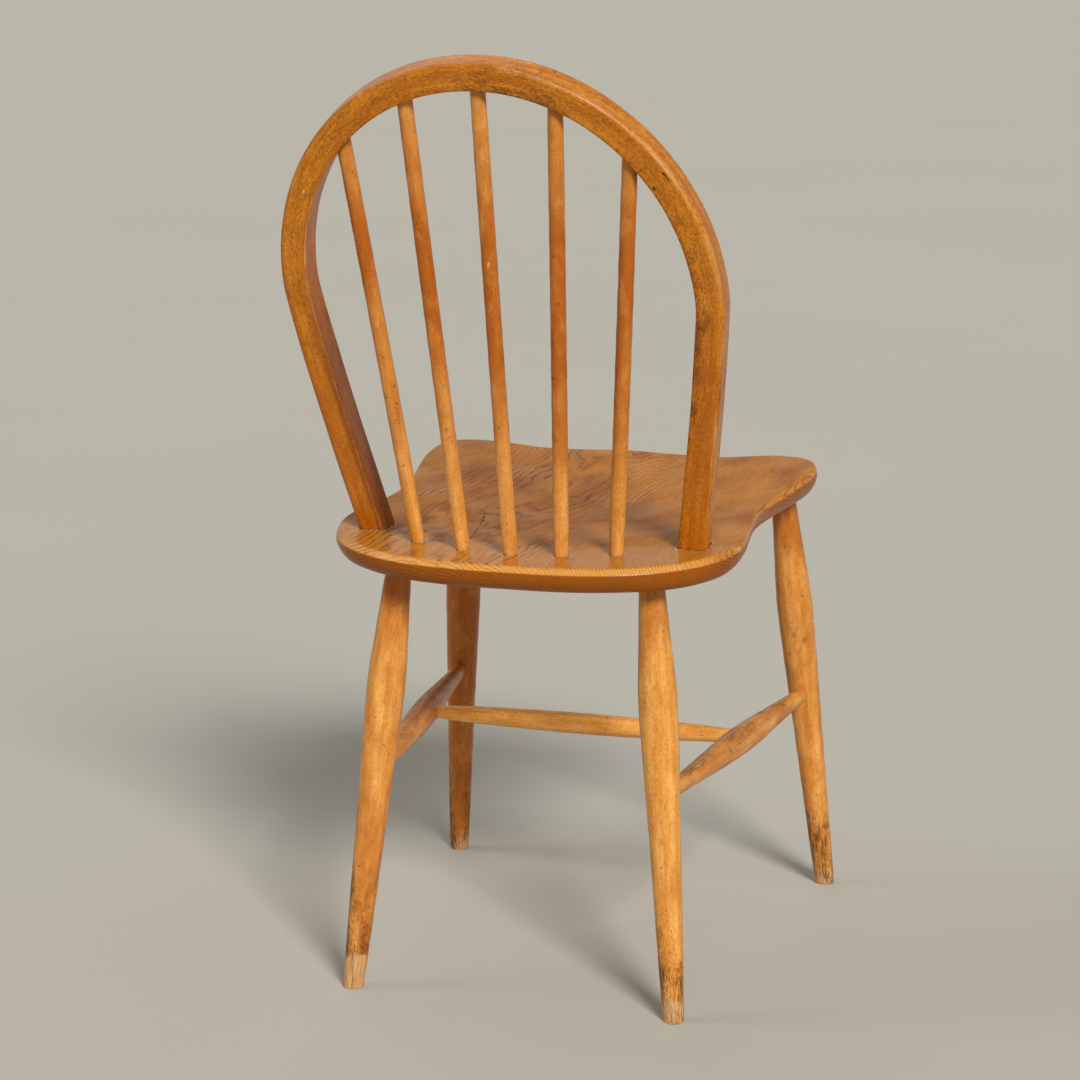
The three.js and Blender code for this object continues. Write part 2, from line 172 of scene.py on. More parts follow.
# Marks of turned pieces, placed in the frame: place, reach, depth and shade, pale below 0
turned_marks = {
    "spindle_centre": [((-0.6, 224.3, 668.2), (1.1, 4, 1.9), 0.25, -1.1)],
    "spindle_inner_left": [((50, 186, 520), (1.5, 4, 1.8), 0.3, 0.8)],
    "leg_front_right": [
        ((-171.6, -195.8, 267.1), (2.4, 5, 3.4), 0.5, 0.7),
        ((-180.8, -199.6, 261.9), (2.4, 5, 4), 0.4, 0.6), ((-174, -197, 274), (2, 5, 3), 0.3, 0.5),
        ((-176, -198, 250), (2, 5, 3), 0.3, 0.5), ((-196.5, -241.4, 63.9), (3, 5, 4), 0.6, 0.8),
    ],
    "leg_back_left": [
        ((147.8 + 0.02 * step, 173.4, 2 + 3.2 * step), (0.8, 4, 2.6), 0.5, 0.5) for step in range(11)],
    "side_stretcher_right": [((-159.8, 6.2, 204.9), (3.4, 3.4, 4), 0.4, 0.7)],
}

# Photograph's camera, from a fit to it
camera_place = Vector((-818.1, 2697.1, 979.0)) * METRES
camera_forward = Vector((0.2919, -0.9343, -0.2047))
camera_lens = 104.67

# Lamps: name, direction, strength, width in degrees and colour
sky_colour, sky_strength = (1.0, 0.98, 0.95), 0.24
lamps = [
    ("key", (-0.486, 0.679, 0.545), 3.1, 16, (1.0, 0.975, 0.93)),
    ("side", (0.78, 0.25, 0.57), 0.45, 24, sky_colour),
    ("front", (0.45, -0.5, 0.74), 0.3, 50, sky_colour),
]

seat_back_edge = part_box("seat")[1].y / METRES
to_frame = np.array([0.0, seat_back_edge - seat_half_outline[0][1], 0.0])


def ramp(low, high, value):
    """0 at low and 1 at high, eased at both ends."""
    share = np.clip((value - low) / (high - low), 0, 1)
    return share * share * (3 - 2 * share)


def smooth_curve(points, count):
    """A Catmull-Rom curve through points, at count even steps of its length."""
    given = np.array(points, float)
    padded = np.vstack([2 * given[0] - given[1], given, 2 * given[-1] - given[-2]])
    fine = []
    for place in range(len(given) - 1):
        p0, p1, p2, p3 = padded[place:place + 4]
        for t in np.linspace(0, 1, 24, endpoint=False):
            fine.append(0.5 * (2 * p1 + (p2 - p0) * t + (2 * p0 - 5 * p1 + 4 * p2 - p3) * t ** 2
                               + (3 * p1 - p0 - 3 * p2 + p3) * t ** 3))
    fine.append(given[-1])
    return even_steps(np.array(fine), count)


def unit(vectors, tiny=0.0):
    return vectors / (np.linalg.norm(vectors, axis=-1, keepdims=True) + tiny)


def lengths_along(line):
    return np.concatenate([[0], np.cumsum(np.linalg.norm(np.diff(line, axis=0), axis=1))])


def even_steps(line, count):
    """The line at count points, evenly spaced along it."""
    gone = lengths_along(line)
    at = np.linspace(0, gone[-1], count)
    return np.stack([np.interp(at, gone, line[:, axis]) for axis in range(line.shape[1])], axis=1)


def joined(here, there, shares):
    """Points at shares of the way from here to there."""
    here, there = np.array(here), np.array(there)
    return [here + (there - here) * share for share in shares]


def hill(value, middle, reach):
    """1 where the value is middle, falling to 0 over about twice reach."""
    return np.exp(-((value - middle) / reach) ** 2)


def seat_plane(y):
    return seat_height - seat_slope * y


def seat_underside(y):
    return seat_plane(y) - seat_thickness


def waves(points, size, seed, along=1.0):
    """Soft random value of about -1 to 1 at each point: sums of sines in random directions. It is
    drawn out along the third axis where along is less than 1."""
    local = np.random.default_rng(seed)
    points = points * [1, 1, along]
    total = np.zeros(len(points))
    for octave in range(3):
        for _ in range(5):
            direction = unit(local.normal(size=3))
            phase = local.uniform(0, 2 * math.pi)
            wave = points @ direction * (2 * math.pi / size) * 2 ** octave
            total += np.sin(wave * local.uniform(0.7, 1.3) + phase) / (2 ** octave * 5)
    return total * 1.6


def bump_at(points, centre, reach):
    """1 at centre, falling to 0 over about twice reach, which has a number for each axis."""
    away = (points - np.array(centre)) / np.array(reach)
    return np.exp(-np.sum(away ** 2, axis=1))


def add_object(name, data):
    thing = bpy.data.objects.new(name, data)
    bpy.context.scene.collection.objects.link(thing)
    return thing


def mesh_object(name, points, faces, values, material, node):
    mesh = bpy.data.meshes.new(name)
    mesh.from_pydata(((points + to_frame) * METRES).tolist(), [], faces)
    mesh.update()
    mesh.polygons.foreach_set("use_smooth", np.ones(len(mesh.polygons), bool))
    for label in ("grime", "bare", "tan", "stain", "dark", "chip"):
        values.setdefault(label, np.zeros(len(points)))
    for label, numbers in values.items():
        kind, field = ("FLOAT_VECTOR", "vector") if np.ndim(numbers) == 2 else ("FLOAT", "value")
        data = mesh.attributes.new(label, kind, "POINT").data
        data.foreach_set(field, np.asarray(numbers, np.float32).ravel())
    mesh.materials.append(material)
    piece = add_object(name, mesh)
    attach(piece, "root")
    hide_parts(node)


def band(first, second, around, halved):
    """Faces between two closed rings, given by their first point's number. With halved, the second
    ring has half as many points as the first."""
    faces = []
    if not halved:
        for step in range(around):
            after = (step + 1) % around
            faces.append((first + step, first + after, second + after, second + step))
        return faces
    half = around // 2
    for step in range(half):
        a, b, c = first + 2 * step, first + 2 * step + 1, first + (2 * step + 2) % around
        d, e = second + step, second + (step + 1) % half
        faces += [(a, b, d), (b, e, d), (b, c, e)]
    return faces


def with_centres(rings):
    """The rings' points, and after them the centres of the first and last ring."""
    return np.vstack(rings + [rings[0].mean(axis=0), rings[-1].mean(axis=0)])


def ring_body(rings):
    """Closed body through rings, each with as many points as the last one or half as many, or twice
    as many, with a fan at each end."""
    starts = [0]
    for ring in rings:
        starts.append(starts[-1] + len(ring))
    faces = []
    for place in range(len(rings) - 1):
        here, there = len(rings[place]), len(rings[place + 1])
        if here >= there:
            faces += band(starts[place], starts[place + 1], here, here > there)
        else:
            faces += [face[::-1] for face in band(starts[place + 1], starts[place], there, True)]
    points = with_centres(rings)
    around, last, end = len(rings[0]), len(rings[-1]), starts[-2]
    faces += [((step + 1) % around, step, starts[-1]) for step in range(around)]
    faces += [(end + step, end + (step + 1) % last, starts[-1] + 1) for step in range(last)]
    return points, outwards(points, faces)


def outwards(points, faces):
    """Faces turned so that they point outwards."""
    corners = np.array([face[:3] for face in faces])
    a, b, c = (points[corners[:, corner]] for corner in range(3))
    if np.sum(np.cross(b - a, c - a) * (a - points.mean(axis=0))) < 0:
        return [face[::-1] for face in faces]
    return faces


# Materials


def srgb(red, green, blue):
    """A colour of the photograph's scale, 0 to 255, as Blender's linear one."""
    linear = []
    for value in (red, green, blue):
        share = value / 255
        linear.append(share / 12.92 if share <= 0.04045 else ((share + 0.055) / 1.055) ** 2.4)
    return (*linear, 1.0)


# Tones of elm, darker and lighter: the rear edge's top, its facet, lightened as a painted highlight, the
# rim's side, darkened as painted shade, the worn top, its pink
elm_tones = [
    ((176, 106, 30), (206, 136, 50)), ((202, 136, 60), (230, 166, 84)),
    ((138, 70, 8), (168, 94, 16)), ((166, 98, 32), (206, 136, 52)), ((142, 80, 30), (170, 100, 42)),
]
# Tones of each beech: light, dark and deep
hoop_tones = (228, 146, 38), (196, 114, 20), (144, 76, 6)
turned_tones = (246, 182, 98), (228, 156, 68), (194, 116, 38)
wedge_tones = (206, 156, 98), (176, 124, 72), (140, 92, 50)
bare_tones = (166, 118, 70), (220, 174, 118)
floor_tones = (188, 185, 175), (192, 189, 180)
backdrop_tone = (190, 187, 177)
elm_specular, elm_coat_roughness = 0.12, 0.16
beech_specular, beech_coat_roughness = 0.17, 0.24
floor_specular, floor_roughness = 0.2, 0.85


class Nodes:
    """A material whose nodes are made by short calls, each of which returns the node's output."""

    def __init__(self, name, on_wood=True):
        self.material = bpy.data.materials.new(name)
        self.material.use_nodes = True
        self.tree = self.material.node_tree
        self.shader = self.tree.nodes["Principled BSDF"]
        self.colour = None
        if on_wood:
            self.place = self.value("wood", "Vector")
        else:
            self.place = self.new("TexCoord").outputs["Object"]

    def new(self, kind, *inputs):
        node = self.tree.nodes.new("ShaderNode" + kind)
        for socket, value in zip(node.inputs, inputs):
            self.put(socket, value)
        return node

    def put(self, socket, value):
        if isinstance(value, bpy.types.NodeSocket):
            self.tree.links.new(value, socket)
        else:
            socket.default_value = value

    def shade(self, label, value):
        self.put(self.shader.inputs[label], value)

    def value(self, label, output="Fac"):
        node = self.new("Attribute")
        node.attribute_name = label
        return node.outputs[output]

    def math(self, operation, first, second=0.0):
        node = self.new("Math", first, second)
        node.operation = operation
        return node.outputs[0]

    def add(self, first, *others):
        for other in others:
            first = self.math("ADD", first, other)
        return first

    def times(self, first, *others):
        for other in others:
            first = self.math("MULTIPLY", first, other)
        return first

    def most(self, first, second):
        return self.math("MAXIMUM", first, second)

    def stretched(self, factors):
        """The wood's coordinates, each times its factor."""
        node = self.new("VectorMath", self.place, factors)
        node.operation = "MULTIPLY"
        return node.outputs[0]

    def noise(self, across, along, detail=2.0, roughness=0.5, distortion=0.0):
        """Noise of 0 to 1 about 0.5, with so many waves a millimetre across and along the wood."""
        node = self.new("TexNoise")
        settings = {"Scale": 1.0, "Detail": detail, "Roughness": roughness, "Distortion": distortion}
        for label, number in settings.items():
            node.inputs[label].default_value = number
        self.put(node.inputs["Vector"], self.stretched((across, across, along)))
        return node.outputs["Fac"]

    def spread(self, value, low, high, to_low=0.0, to_high=1.0, kind="LINEAR"):
        """The value's range low to high, mapped to another range and held inside it."""
        node = self.new("MapRange")
        node.interpolation_type = kind
        self.put(node.inputs["Value"], value)
        ends = {"From Min": low, "From Max": high, "To Min": to_low, "To Max": to_high}
        for label, number in ends.items():
            node.inputs[label].default_value = number
        return node.outputs["Result"]

    def ease(self, value, low, high):
        """0 at low and 1 at high, eased at both ends."""
        return self.spread(value, low, high, kind="SMOOTHSTEP")

    def mix(self, share, *tones):
        """A mix of two tones, each a socket or a colour of the photograph's scale."""
        node = self.new("Mix")
        node.data_type = "RGBA"
        self.put(node.inputs["Factor"], share)
        for socket, tone in zip(node.inputs[6:8], tones):
            self.put(socket, srgb(*tone) if isinstance(tone, tuple) else tone)
        return node.outputs[2]

    def paint(self, share, tone):
        """Covers the colour so far with a share of a tone."""
        self.colour = self.mix(share, self.colour, tone)

    def near(self, place, stretch, reach, soft=0.4):
        """1 within reach of a place of the stretched wood, falling to 0 at its edge."""
        node = self.new("VectorMath", self.stretched(stretch), [a * b for a, b in zip(place, stretch)])
        node.operation = "DISTANCE"
        return self.ease(node.outputs["Value"], reach, reach * soft)

    def line(self, distance, width, soft=0.5):
        """1 where the distance, of either sign, is less than width, falling to 0 beyond it."""
        away = self.math("ABSOLUTE", distance)
        return self.ease(away, width + soft, width)

    def bump(self, height, strength, distance):
        node = self.new("Bump")
        node.inputs["Strength"].default_value = strength
        node.inputs["Distance"].default_value = distance * METRES
        self.put(node.inputs["Height"], height)
        self.shade("Normal", node.outputs["Normal"])


def elm_material():
    """Elm under a varnish that is worn matt and pinkish on the top and glossy at the edges."""
    n = Nodes("elm_seat")
    bare, rim, facet = n.value("bare"), n.value("rim"), n.value("facet")
    warp = n.spread(n.noise(0.03, 0.012, 3), 0.3, 0.7, -0.8, 0.8)
    waver = n.spread(n.noise(0.35, 0.05), 0.3, 0.7, -0.14, 0.14)
    year = n.math("FRACT", n.add(n.value("ring"), warp, waver))
    early = n.times(n.ease(year, 0.0, 0.08), n.ease(year, 0.44, 0.1))
    early = n.times(early, n.spread(n.noise(0.022, 0.01), 0.36, 0.62, 0.3, 1.0))
    fibre = n.noise(1.3, 0.045, 4, 0.65)
    pores = n.spread(n.noise(1.7, 0.13, 2, 0.6), 0.55, 0.64)
    pores = n.times(pores, n.add(0.2, n.times(early, 0.8)))
    patches = n.noise(0.02, 0.01, 3, 0.6)
    blotch = n.noise(0.05, 0.022, 4, 0.65)

    fine = n.spread(fibre, 0.3, 0.7)
    amber, facet_highlight_tone, rim_shade_tone, top, pink = (n.mix(fine, *tones) for tones in elm_tones)
    pinkish = n.spread(n.add(patches, n.times(n.value("blush"), 0.16)), 0.46, 0.62, 0.0, 0.85)
    # Edge colour: the rear facet lightened as a painted highlight, and the rim's side darkened as
    # painted shade, with a real change of colour at the facet's lower edge
    edge = n.mix(rim, n.mix(facet, amber, facet_highlight_tone), rim_shade_tone)
    n.colour = n.mix(bare, edge, n.mix(pinkish, top, pink))
    n.paint(n.times(early, n.spread(facet, 0, 1, 0.66, 0.5)), (84, 42, 16))
    n.paint(n.times(pores, 0.7), (60, 30, 14))
    n.paint(n.spread(blotch, 0.56, 0.72, 0.0, 0.35), (104, 60, 36))

    crack = n.add(n.value("crack"), n.spread(n.noise(0.3, 0.3), 0.3, 0.7, -1.2, 1.2))
    crack = n.times(n.line(crack, 0.36), n.value("crack_share"))
    crack = n.times(crack, n.spread(n.noise(0.2, 0.12), 0.36, 0.5, 0.5, 1.0))
    edges = n.noise(0.9, 0.9)
    pit = 0.0
    for x, y, reach in seat_pits:
        pit = n.most(pit, n.near((x - pith_side - pith_turn * y, 0, y), (1, 0, 1), reach))
    pit = n.times(pit, n.spread(edges, 0.35, 0.5, 0.3, 1.0))
    dark = n.most(n.most(crack, pit), n.value("dark"))
    n.paint(n.times(dark, 0.9), (46, 26, 16))

    # Dark gap, dirty halo and crumbs of old glue round each socket, by the distance from it
    crumbs = n.noise(0.55, 0.55)
    socket = n.value("socket")
    gap = n.times(n.spread(socket, 1.5, 0.9), n.spread(crumbs, 0.36, 0.46, 0.45, 1.0))
    n.paint(gap, (40, 22, 14))
    halo = n.times(n.spread(socket, 5.0, 1.0, 0.0, 0.4), n.spread(crumbs, 0.35, 0.6))
    n.paint(halo, (84, 50, 30))
    glue = n.times(n.spread(socket, 2.6, 2.1), n.spread(socket, 0.5, 1.0), n.spread(crumbs, 0.5, 0.54))
    n.paint(glue, (214, 188, 160))
    chip = n.times(n.value("chip"), n.spread(edges, 0.4, 0.5))
    n.paint(chip, (216, 176, 122))
    n.shade("Base Color", n.colour)

    rough = n.add(n.spread(bare, 0, 1, 0.24, 0.46), n.spread(fibre, 0.3, 0.7, -0.04, 0.06),
                  n.spread(blotch, 0.3, 0.7, -0.04, 0.08))
    n.shade("Roughness", n.most(rough, n.times(n.most(chip, dark), 0.75)))
    n.shade("Specular IOR Level", elm_specular)
    n.shade("Coat Weight", n.times(n.spread(bare, 0.2, 0.9, 0.26, 0.02), n.spread(rim, 0, 1, 1.0, 0.25)))
    n.shade("Coat Roughness", elm_coat_roughness)
    height = n.add(n.times(fibre, 0.3), n.times(early, -0.5), n.times(pores, -0.8), n.times(dark, -1.5))
    n.bump(height, 0.5, 0.22)
    return n.material


def beech_material(name, tones, gloss, streak_length, grit_share, scratches=(), specks=()):
    """Beech under amber varnish: soft streaks, mottling, fine flecks, grit, dirt, and bare wood
    where the varnish has gone. Dark scratches and pale specks are places of the wood with their
    stretch and reach."""
    n = Nodes(name)
    light, dark, deep = tones
    fibre = n.noise(0.9, 0.035, 4, 0.6)
    streaks = n.noise(0.16, 1 / streak_length, 3, 0.55)
    mottle = n.noise(0.07, 0.035, 3, 0.6, 0.6)
    flecks = n.spread(n.noise(1.5, 0.33, 1), 0.58, 0.7)
    ring = n.math("FRACT", n.add(n.value("ring"), n.spread(streaks, 0.3, 0.7, -0.5, 0.5)))
    line = n.times(n.ease(ring, 0.0, 0.3), n.ease(ring, 0.75, 0.35))

    n.colour = n.mix(n.ease(streaks, 0.36, 0.64), dark, light)
    n.paint(n.spread(mottle, 0.42, 0.68, 0.0, 0.46), deep)
    n.paint(n.spread(fibre, 0.35, 0.65, 0.24, 0.0), deep)
    n.paint(n.times(line, 0.1), deep)
    n.paint(n.times(flecks, 0.25), (110, 58, 18))
    grit = n.noise(0.55, 0.3, 4, 0.8)
    n.paint(n.spread(grit, 0.49, 0.62, 0.0, 0.62 * grit_share), (112, 56, 8))
    n.paint(n.spread(grit, 0.49, 0.36, 0.0, 0.5 * grit_share), light)
    tan = n.times(n.value("tan"), n.spread(mottle, 0.32, 0.55, 0.68, 1.0))
    n.paint(tan, (172, 88, 14))

    dirt = n.value("grime")
    film = n.spread(n.add(n.noise(0.12, 0.05, 4, 0.65), n.times(dirt, 0.22)), 0.62, 0.82)
    n.paint(n.times(film, 0.5), (88, 44, 10))
    speckle = n.spread(n.add(n.noise(0.8, 0.34, 3, 0.75), n.times(dirt, 0.2)), 0.61, 0.74)
    n.paint(n.times(speckle, 0.6), (58, 30, 12))
    dots = n.spread(n.noise(0.22, 0.19, 1), 0.74, 0.77)
    n.paint(n.times(dots, 0.6), (80, 42, 18))

    worn = n.add(n.value("bare"), n.spread(fibre, 0.3, 0.7, -0.16, 0.16))
    worn = n.ease(worn, 0.2, 0.8)
    n.paint(worn, n.mix(n.spread(fibre, 0.3, 0.7), *bare_tones))
    stain = n.add(n.noise(0.7, 0.09, 3, 0.7), n.times(n.value("stain"), 0.34))
    stain = n.spread(stain, 0.74, 0.84)
    n.paint(n.times(stain, 0.7), (64, 38, 18))
    ragged = n.spread(n.noise(0.9, 0.7), 0.35, 0.5, 0.4, 1.0)
    for places, attribute, tone in (
            (scratches, "dark", (48, 25, 8)), (specks, "chip", (228, 196, 146))):
        mark = n.value(attribute)
        for spot in places:
            mark = n.most(mark, n.near(*spot))
        n.paint(n.times(mark, ragged), tone)
    n.shade("Base Color", n.colour)

    rough = n.add(gloss, n.spread(mottle, 0.35, 0.7, -0.05, 0.08), n.times(film, 0.1),
                  n.times(worn, 0.35), n.times(speckle, 0.1))
    n.shade("Roughness", rough)
    n.shade("Specular IOR Level", beech_specular)
    n.shade("Coat Weight", n.spread(worn, 0, 1, 0.15, 0.03))
    n.shade("Coat Roughness", beech_coat_roughness)
    height = n.add(n.times(fibre, 0.4), n.times(flecks, -0.4), n.times(n.add(speckle, stain), -0.3))
    n.bump(height, 0.32, 0.18)
    return n.material


elm = elm_material()
beech_turned = beech_material("beech_turned", turned_tones, 0.3, 90, 0.34)
wedge_wood = beech_material("wedge_wood", wedge_tones, 0.5, 40, 0.5)


# Seat


def blend(first, second, start, end, t):
    """The value at t of the line that is first at start and second at end."""
    return (end - t) / (end - start) * first + (t - start) / (end - start) * second


def closed_outline(half, count):
    """The seat's outline at count even steps, from the middle of the back towards +X."""
    right = [(-x, y) for x, y in reversed(half[1:-1])]
    points = np.array(list(half) + right, float)
    fine = []
    for place in range(len(points)):
        near = [points[(place + offset) % len(points)] for offset in (-1, 0, 1, 2)]
        knots = [0.0]
        for here, there in zip(near, near[1:]):
            knots.append(knots[-1] + np.linalg.norm(there - here) ** 0.5)
        for t in np.linspace(knots[1], knots[2], 24, endpoint=False):
            level = near
            for reach in (1, 2):
                level = [blend(level[step], level[step + 1], knots[step], knots[step + reach], t)
                         for step in range(4 - reach)]
            fine.append(blend(*level, knots[1], knots[2], t))
    fine.append(fine[0])
    return even_steps(np.array(fine), count + 1)[:-1]


def saddle(x, y):
    bowl = 1 - (x / hollow_half_width) ** 2 - ((y - seat_middle_y) / hollow_half_length) ** 2
    hollow = -hollow_depth * np.maximum(bowl, 0) ** 1.5
    front = ramp(250, 385, -y)
    return hollow + front * (corner_lift * ramp(85, 150, np.abs(x)) + ridge_lift * hill(x, 0, 38))


def line_distance(points, start, end):
    """Distance of each point from the line through start and end."""
    axis = unit(end - start)
    away = points - start
    return np.linalg.norm(away - np.outer(away @ axis, axis), axis=1)


def hoop_plane_point(x, height, depth):
    """Points of the hoop's leaning plane, at depth behind it."""
    rise = height + x * hoop_lean
    return np.stack(np.broadcast_arrays(
        x,
        hoop_foot_y + rise * math.sin(hoop_rake) + depth * math.cos(hoop_rake),
        seat_plane(hoop_foot_y) + rise * math.cos(hoop_rake) - depth * math.sin(hoop_rake),
    ), axis=-1)


def spindle_ends(foot, hoop):
    bottom = np.array([foot[0], foot[1], seat_plane(foot[1])])
    return bottom, hoop_plane_point(*hoop, -1.0)


def rectangle_distance(across, back, half_width, half_depth, corner):
    """Signed distance from a rounded rectangle, negative inside it."""
    x = np.abs(across) - (half_width - corner)
    y = np.abs(back) - (half_depth - corner)
    outside = np.hypot(np.maximum(x, 0), np.maximum(y, 0))
    return outside + np.minimum(np.maximum(x, y), 0) - corner


def build_seat():
    outline = closed_outline(seat_half_outline, seat_steps)
    lobe = hill(outline[:, 1], left_lobe_y, left_lobe_reach)
    outline[:, 0] += left_lobe_bulge * ramp(100, 170, outline[:, 0]) * lobe
    along = np.roll(outline, -1, axis=0) - np.roll(outline, 1, axis=0)
    inward = unit(np.stack([along[:, 1], -along[:, 0]], axis=1))
    towards = np.array([0, seat_middle_y]) - outline
    inward *= np.sign(np.sum(inward * towards, axis=1))[:, None]

    round_curve = smooth_curve(rounded_edge, 30)
    facet_curve = smooth_curve(facet_edge, 30)
    facet = ramp(-105, -20, outline[:, 1])[:, None]
    near_corner = ramp(90, 150, -outline[:, 0]) * ramp(-95, -55, outline[:, 1])

    def edge_ring(step):
        inset, drop = ((1 - facet) * round_curve[step] + facet * facet_curve[step]).T
        inset = inset * (1 - (1 - right_bevel_share) * near_corner * ramp(6.5, 12, drop))
        place = outline + inward * inset[:, None]
        share = 1 - np.minimum(drop / seat_thickness, 1)
        z = seat_plane(place[:, 1]) - drop + share * saddle(*place.T)
        return np.column_stack([place, z])

    edge = [edge_ring(step) for step in range(len(round_curve))]
    middle = np.array([0, seat_middle_y])

    def inner_rings(border, shares, every, level):
        """Rings of every so many of the border's points, shrunk to shares of it. Their height is
        the function level of x and y."""
        rings = []
        for share in shares:
            place = middle + (border[::every, :2] - middle) * share
            rings.append(np.column_stack([place, level(*place.T)]))
        return rings

    top, bottom = [], []
    for shares, every in (
            (np.linspace(1, 0.62, 52)[1:], 1), (np.linspace(0.62, 0.32, 28)[1:], 2),
            (np.linspace(0.32, 0.02, 26)[1:], 4)):
        top += inner_rings(edge[0], shares, every, lambda x, y: seat_plane(y) + saddle(x, y))
    for shares, every in (
            ((0.985, 0.95, 0.9), 1), (np.linspace(0.88, 0.5, 16), 2), (np.linspace(0.47, 0.04, 14), 4)):
        bottom += inner_rings(edge[-1], shares, every, lambda x, y: seat_underside(y))
    points, faces = ring_body(top[::-1] + edge + bottom)

    x, y, z = points.T
    depth_below = seat_plane(y) + saddle(x, y) - z
    on_top = ramp(4.5, 0.5, depth_below)

    socket = np.full(len(points), 99.0)
    for _, foot, hoop in spindles:
        away = line_distance(points, *spindle_ends(foot, hoop))
        socket = np.minimum(socket, away - spindle_foot_radius)
    for side in (1, -1):
        foot = hoop_plane_point(side * hoop_foot_half, 0.0, 0.0)
        above = hoop_plane_point(side * (hoop_foot_half + hoop_foot_slope * 20), 20.0, 0.0)
        axis = unit(above - foot)
        away = points - foot - axis * ((z - foot[2]) / axis[2])[:, None]
        socket = np.minimum(socket, rectangle_distance(
            away[:, 0], away[:, 1] * math.cos(hoop_rake), hoop_width / 2, hoop_depth / 2, 2.5))

    slot = bump_at(points[:, :2], *tool_slot)
    dark = 1.1 * slot ** 2 * on_top
    sink = 1.3 * slot * on_top

    rear_crack = x - (72.8 - 0.2322 * (y + 155.2) + 0.000563 * (y + 155.2) * (y + 100.5))
    front_crack = x - (70.6 + 0.34 * (y + 233.5) - 0.0009 * (y + 233.5) * (y + 274.5))
    crack = np.where(y > -195, rear_crack, front_crack)
    crack_share = ramp(-160, -150, y) * ramp(-40, -50, y)
    crack_share += 0.8 * ramp(-280, -268, y) * ramp(-230, -240, y)
    crack_share *= on_top * ramp(40, 25, np.abs(crack))
    crack = np.clip(crack, -45, 45)

    chip = np.zeros(len(points))
    for centre, reach, depth in seat_nicks:
        mark = bump_at(points, centre, reach)
        chip += 1.4 * mark ** 1.5
        sink += depth * mark
    chip *= 0.6 + 0.6 * waves(points, 5, 31)

    wander = 0.16 * waves(points, 60, 11) + 0.1 * waves(points, 17, 12)
    normal_out = unit(np.column_stack([x, y - seat_middle_y, np.zeros(len(points))]), 1e-9)
    rim_share = ramp(0.5, 5, depth_below) * ramp(23, 16, depth_below)
    moved = points.copy()
    moved[:, 2] += wander * on_top - sink * on_top
    moved -= normal_out * (rim_share * (sink + 0.25 + wander * 0.8))[:, None]
    moved[:, 2] -= sink * (1 - on_top) * 0.5

    beside_pith = x - pith_side - pith_turn * y
    above_pith = z - pith_lift + pith_fall * y
    radius = np.hypot(beside_pith, above_pith)
    tight = np.clip((radius - ring_tight_from) / ring_tight_over, 0, None)
    eased = np.where(tight < 1, tight ** 3 - tight ** 4 / 2, tight - 0.5)
    ring = ring_rate * radius + ring_extra * ring_tight_over * eased
    ring += elm_knot_pull * bump_at(points[:, :2], *elm_knot)
    ring += 0.9 * waves(points * [1, 0.35, 1], 90, 21)
    bare = on_top * ramp(-14, -52, y + 0.00135 * x ** 2)
    bare = np.clip(bare * (0.85 + 0.25 * waves(points, 70, 5)), 0, 1)
    wood = np.column_stack([beside_pith, above_pith, y])
    on_rear = ramp(-60, -10, y)
    # rim marks the seat's side, which is painted darker as shade; facet marks the rear facet, which is
    # painted lighter as a highlight
    values = {
        "wood": wood, "ring": ring, "bare": bare, "socket": np.clip(socket, -5, 30),
        "rim": ramp(5.2, 6.0, depth_below), "facet": ramp(0.4, 1.4, depth_below) * on_rear,
        "blush": hill(x, 40, 120) * hill(y, -165, 115), "crack": crack, "crack_share": crack_share,
        "dark": np.clip(dark, 0, 1), "chip": np.clip(chip, 0, 1),
    }
    mesh_object("elm_board", moved, faces, values, elm, "seat")


# Hoop


def hoop_line():
    """Middle line of the hoop in its plane from the left tenon over the top to the right one."""
    halves = []
    for side, power in hoop_power.items():
        half = [(hoop_foot_half + hoop_foot_slope * height, height)
                for height in np.linspace(-26, tenon_start, 12)]
        for share in np.linspace(0.02, 0.99, 60):
            spread = (hoop_half - hoop_foot_half) * (1 - share) ** hoop_bow
            half.append((hoop_half - spread, hoop_side * share))
        for angle in np.linspace(0.01, 1, 120) * math.pi / 2:
            half.append((
                hoop_half * max(math.cos(angle), 0) ** (2 / power),
                hoop_side + hoop_arch * math.sin(angle) ** (2 / power),
            ))
        halves.append(np.array(half) * [side, 1])
    return even_steps(np.vstack([halves[0], halves[1][:-1][::-1]]), 640)


def hoop_section():
    """Section of the hoop, outwards and backwards: an arc at each corner and points on the flats."""
    corners = [(1, 1, outer_round), (-1, 1, inner_round), (-1, -1, inner_round), (1, -1, outer_round)]
    points = []
    for corner, (out, back, radius) in enumerate(corners):
        for step in range(9):
            angle = (corner + step / 8) * math.pi / 2
            points.append((
                out * (hoop_width / 2 - radius) + radius * math.cos(angle),
                back * (hoop_depth / 2 - radius) + radius * math.sin(angle),
            ))
    full = []
    for place, (here, there) in enumerate(zip(points, points[1:] + points[:1])):
        full.append(here)
        if place % 9 == 8:
            full += joined(here, there, (0.12, 0.3, 0.5, 0.7, 0.88))
    return np.array(full)


